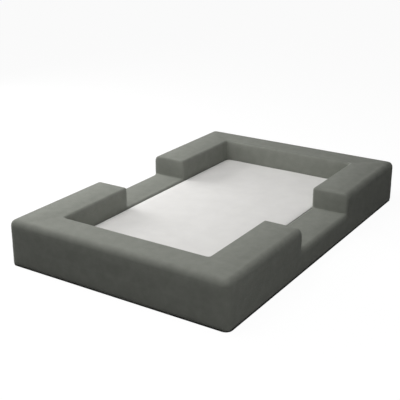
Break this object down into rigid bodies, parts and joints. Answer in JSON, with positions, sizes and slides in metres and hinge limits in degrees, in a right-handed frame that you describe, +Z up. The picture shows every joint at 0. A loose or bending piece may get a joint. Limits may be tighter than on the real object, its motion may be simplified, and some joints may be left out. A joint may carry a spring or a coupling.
{
  "type": "toddler floor bed",
  "caption": "Low rectangular foam floor bed with a soft raised surround, a low entry gap in each long side, a zip-off cover and a loose mattress set in the well.",
  "frame": {"origin": "centre of the footprint, on the floor under the base sheet", "axes": "+Y along the bed towards the head end, +X across the bed, +Z up"},
  "size_m": [1.066, 1.61, 0.205],
  "materials": {
    "cover_fabric": "brushed olive-grey microfibre",
    "mattress_fabric": "smooth off-white cotton ticking",
    "foam": "open-cell polyurethane foam",
    "base_fabric": "dark non-slip dotted fabric",
    "zip_tape": "woven polyester tape and coil",
    "mattress_zip_tape": "woven polyester tape and coil",
    "zip_metal": "satin zinc alloy"
  },
  "bodies": {
    "surround": {"head_end_foam": "foam", "foot_end_foam": "foam", "left_head_arm_foam": "foam", "left_foot_arm_foam": "foam", "right_head_arm_foam": "foam", "right_foot_arm_foam": "foam", "left_sill_foam": "foam", "right_sill_foam": "foam", "head_top_panel": "cover_fabric", "foot_top_panel": "cover_fabric", "left_sill_panel": "cover_fabric", "right_sill_panel": "cover_fabric", "head_outer_panel": "cover_fabric", "foot_outer_panel": "cover_fabric", "left_outer_panel": "cover_fabric", "right_outer_panel": "cover_fabric", "head_inner_panel": "cover_fabric", "foot_inner_panel": "cover_fabric", "left_inner_panel": "cover_fabric", "right_inner_panel": "cover_fabric", "left_head_gap_panel": "cover_fabric", "left_foot_gap_panel": "cover_fabric", "right_head_gap_panel": "cover_fabric", "right_foot_gap_panel": "cover_fabric", "base_sheet": "base_fabric", "cover_zip_welt": "cover_fabric", "cover_zip_tapes": "zip_tape", "cover_zip_coils": "zip_tape", "cover_zip_stops": "zip_metal"},
    "mattress": {"mattress_foam": "foam", "mattress_top_panel": "mattress_fabric", "mattress_side_band": "mattress_fabric", "mattress_bottom_panel": "mattress_fabric", "mattress_zip_tapes": "mattress_zip_tape", "mattress_zip_coils": "mattress_zip_tape", "mattress_zip_stops": "zip_metal"},
    "cover_slider": {"cover_zip_slider": "zip_metal"},
    "cover_tab": {"cover_zip_tab": "zip_metal"},
    "mattress_slider": {"mattress_zip_slider": "zip_metal"}
  },
  "joints": [
    {"name": "mattress_lift", "type": "slide", "parent": "surround", "child": "mattress", "axis": [0, 0, 1], "range_m": [0, 0.25]},
    {"name": "cover_zip_run", "type": "slide", "parent": "surround", "child": "cover_slider", "axis": [-1, 0, 0], "range_m": [0, 0.872]},
    {"name": "cover_tab_swing", "type": "hinge", "parent": "cover_slider", "child": "cover_tab", "pos_m": [0.4437, 0.8038, 0.045], "axis": [0, 0, -1], "range_deg": [0, 165]},
    {"name": "mattress_zip_run", "type": "slide", "parent": "mattress", "child": "mattress_slider", "axis": [-1, 0, 0], "range_m": [0, 0.548]}
  ]
}
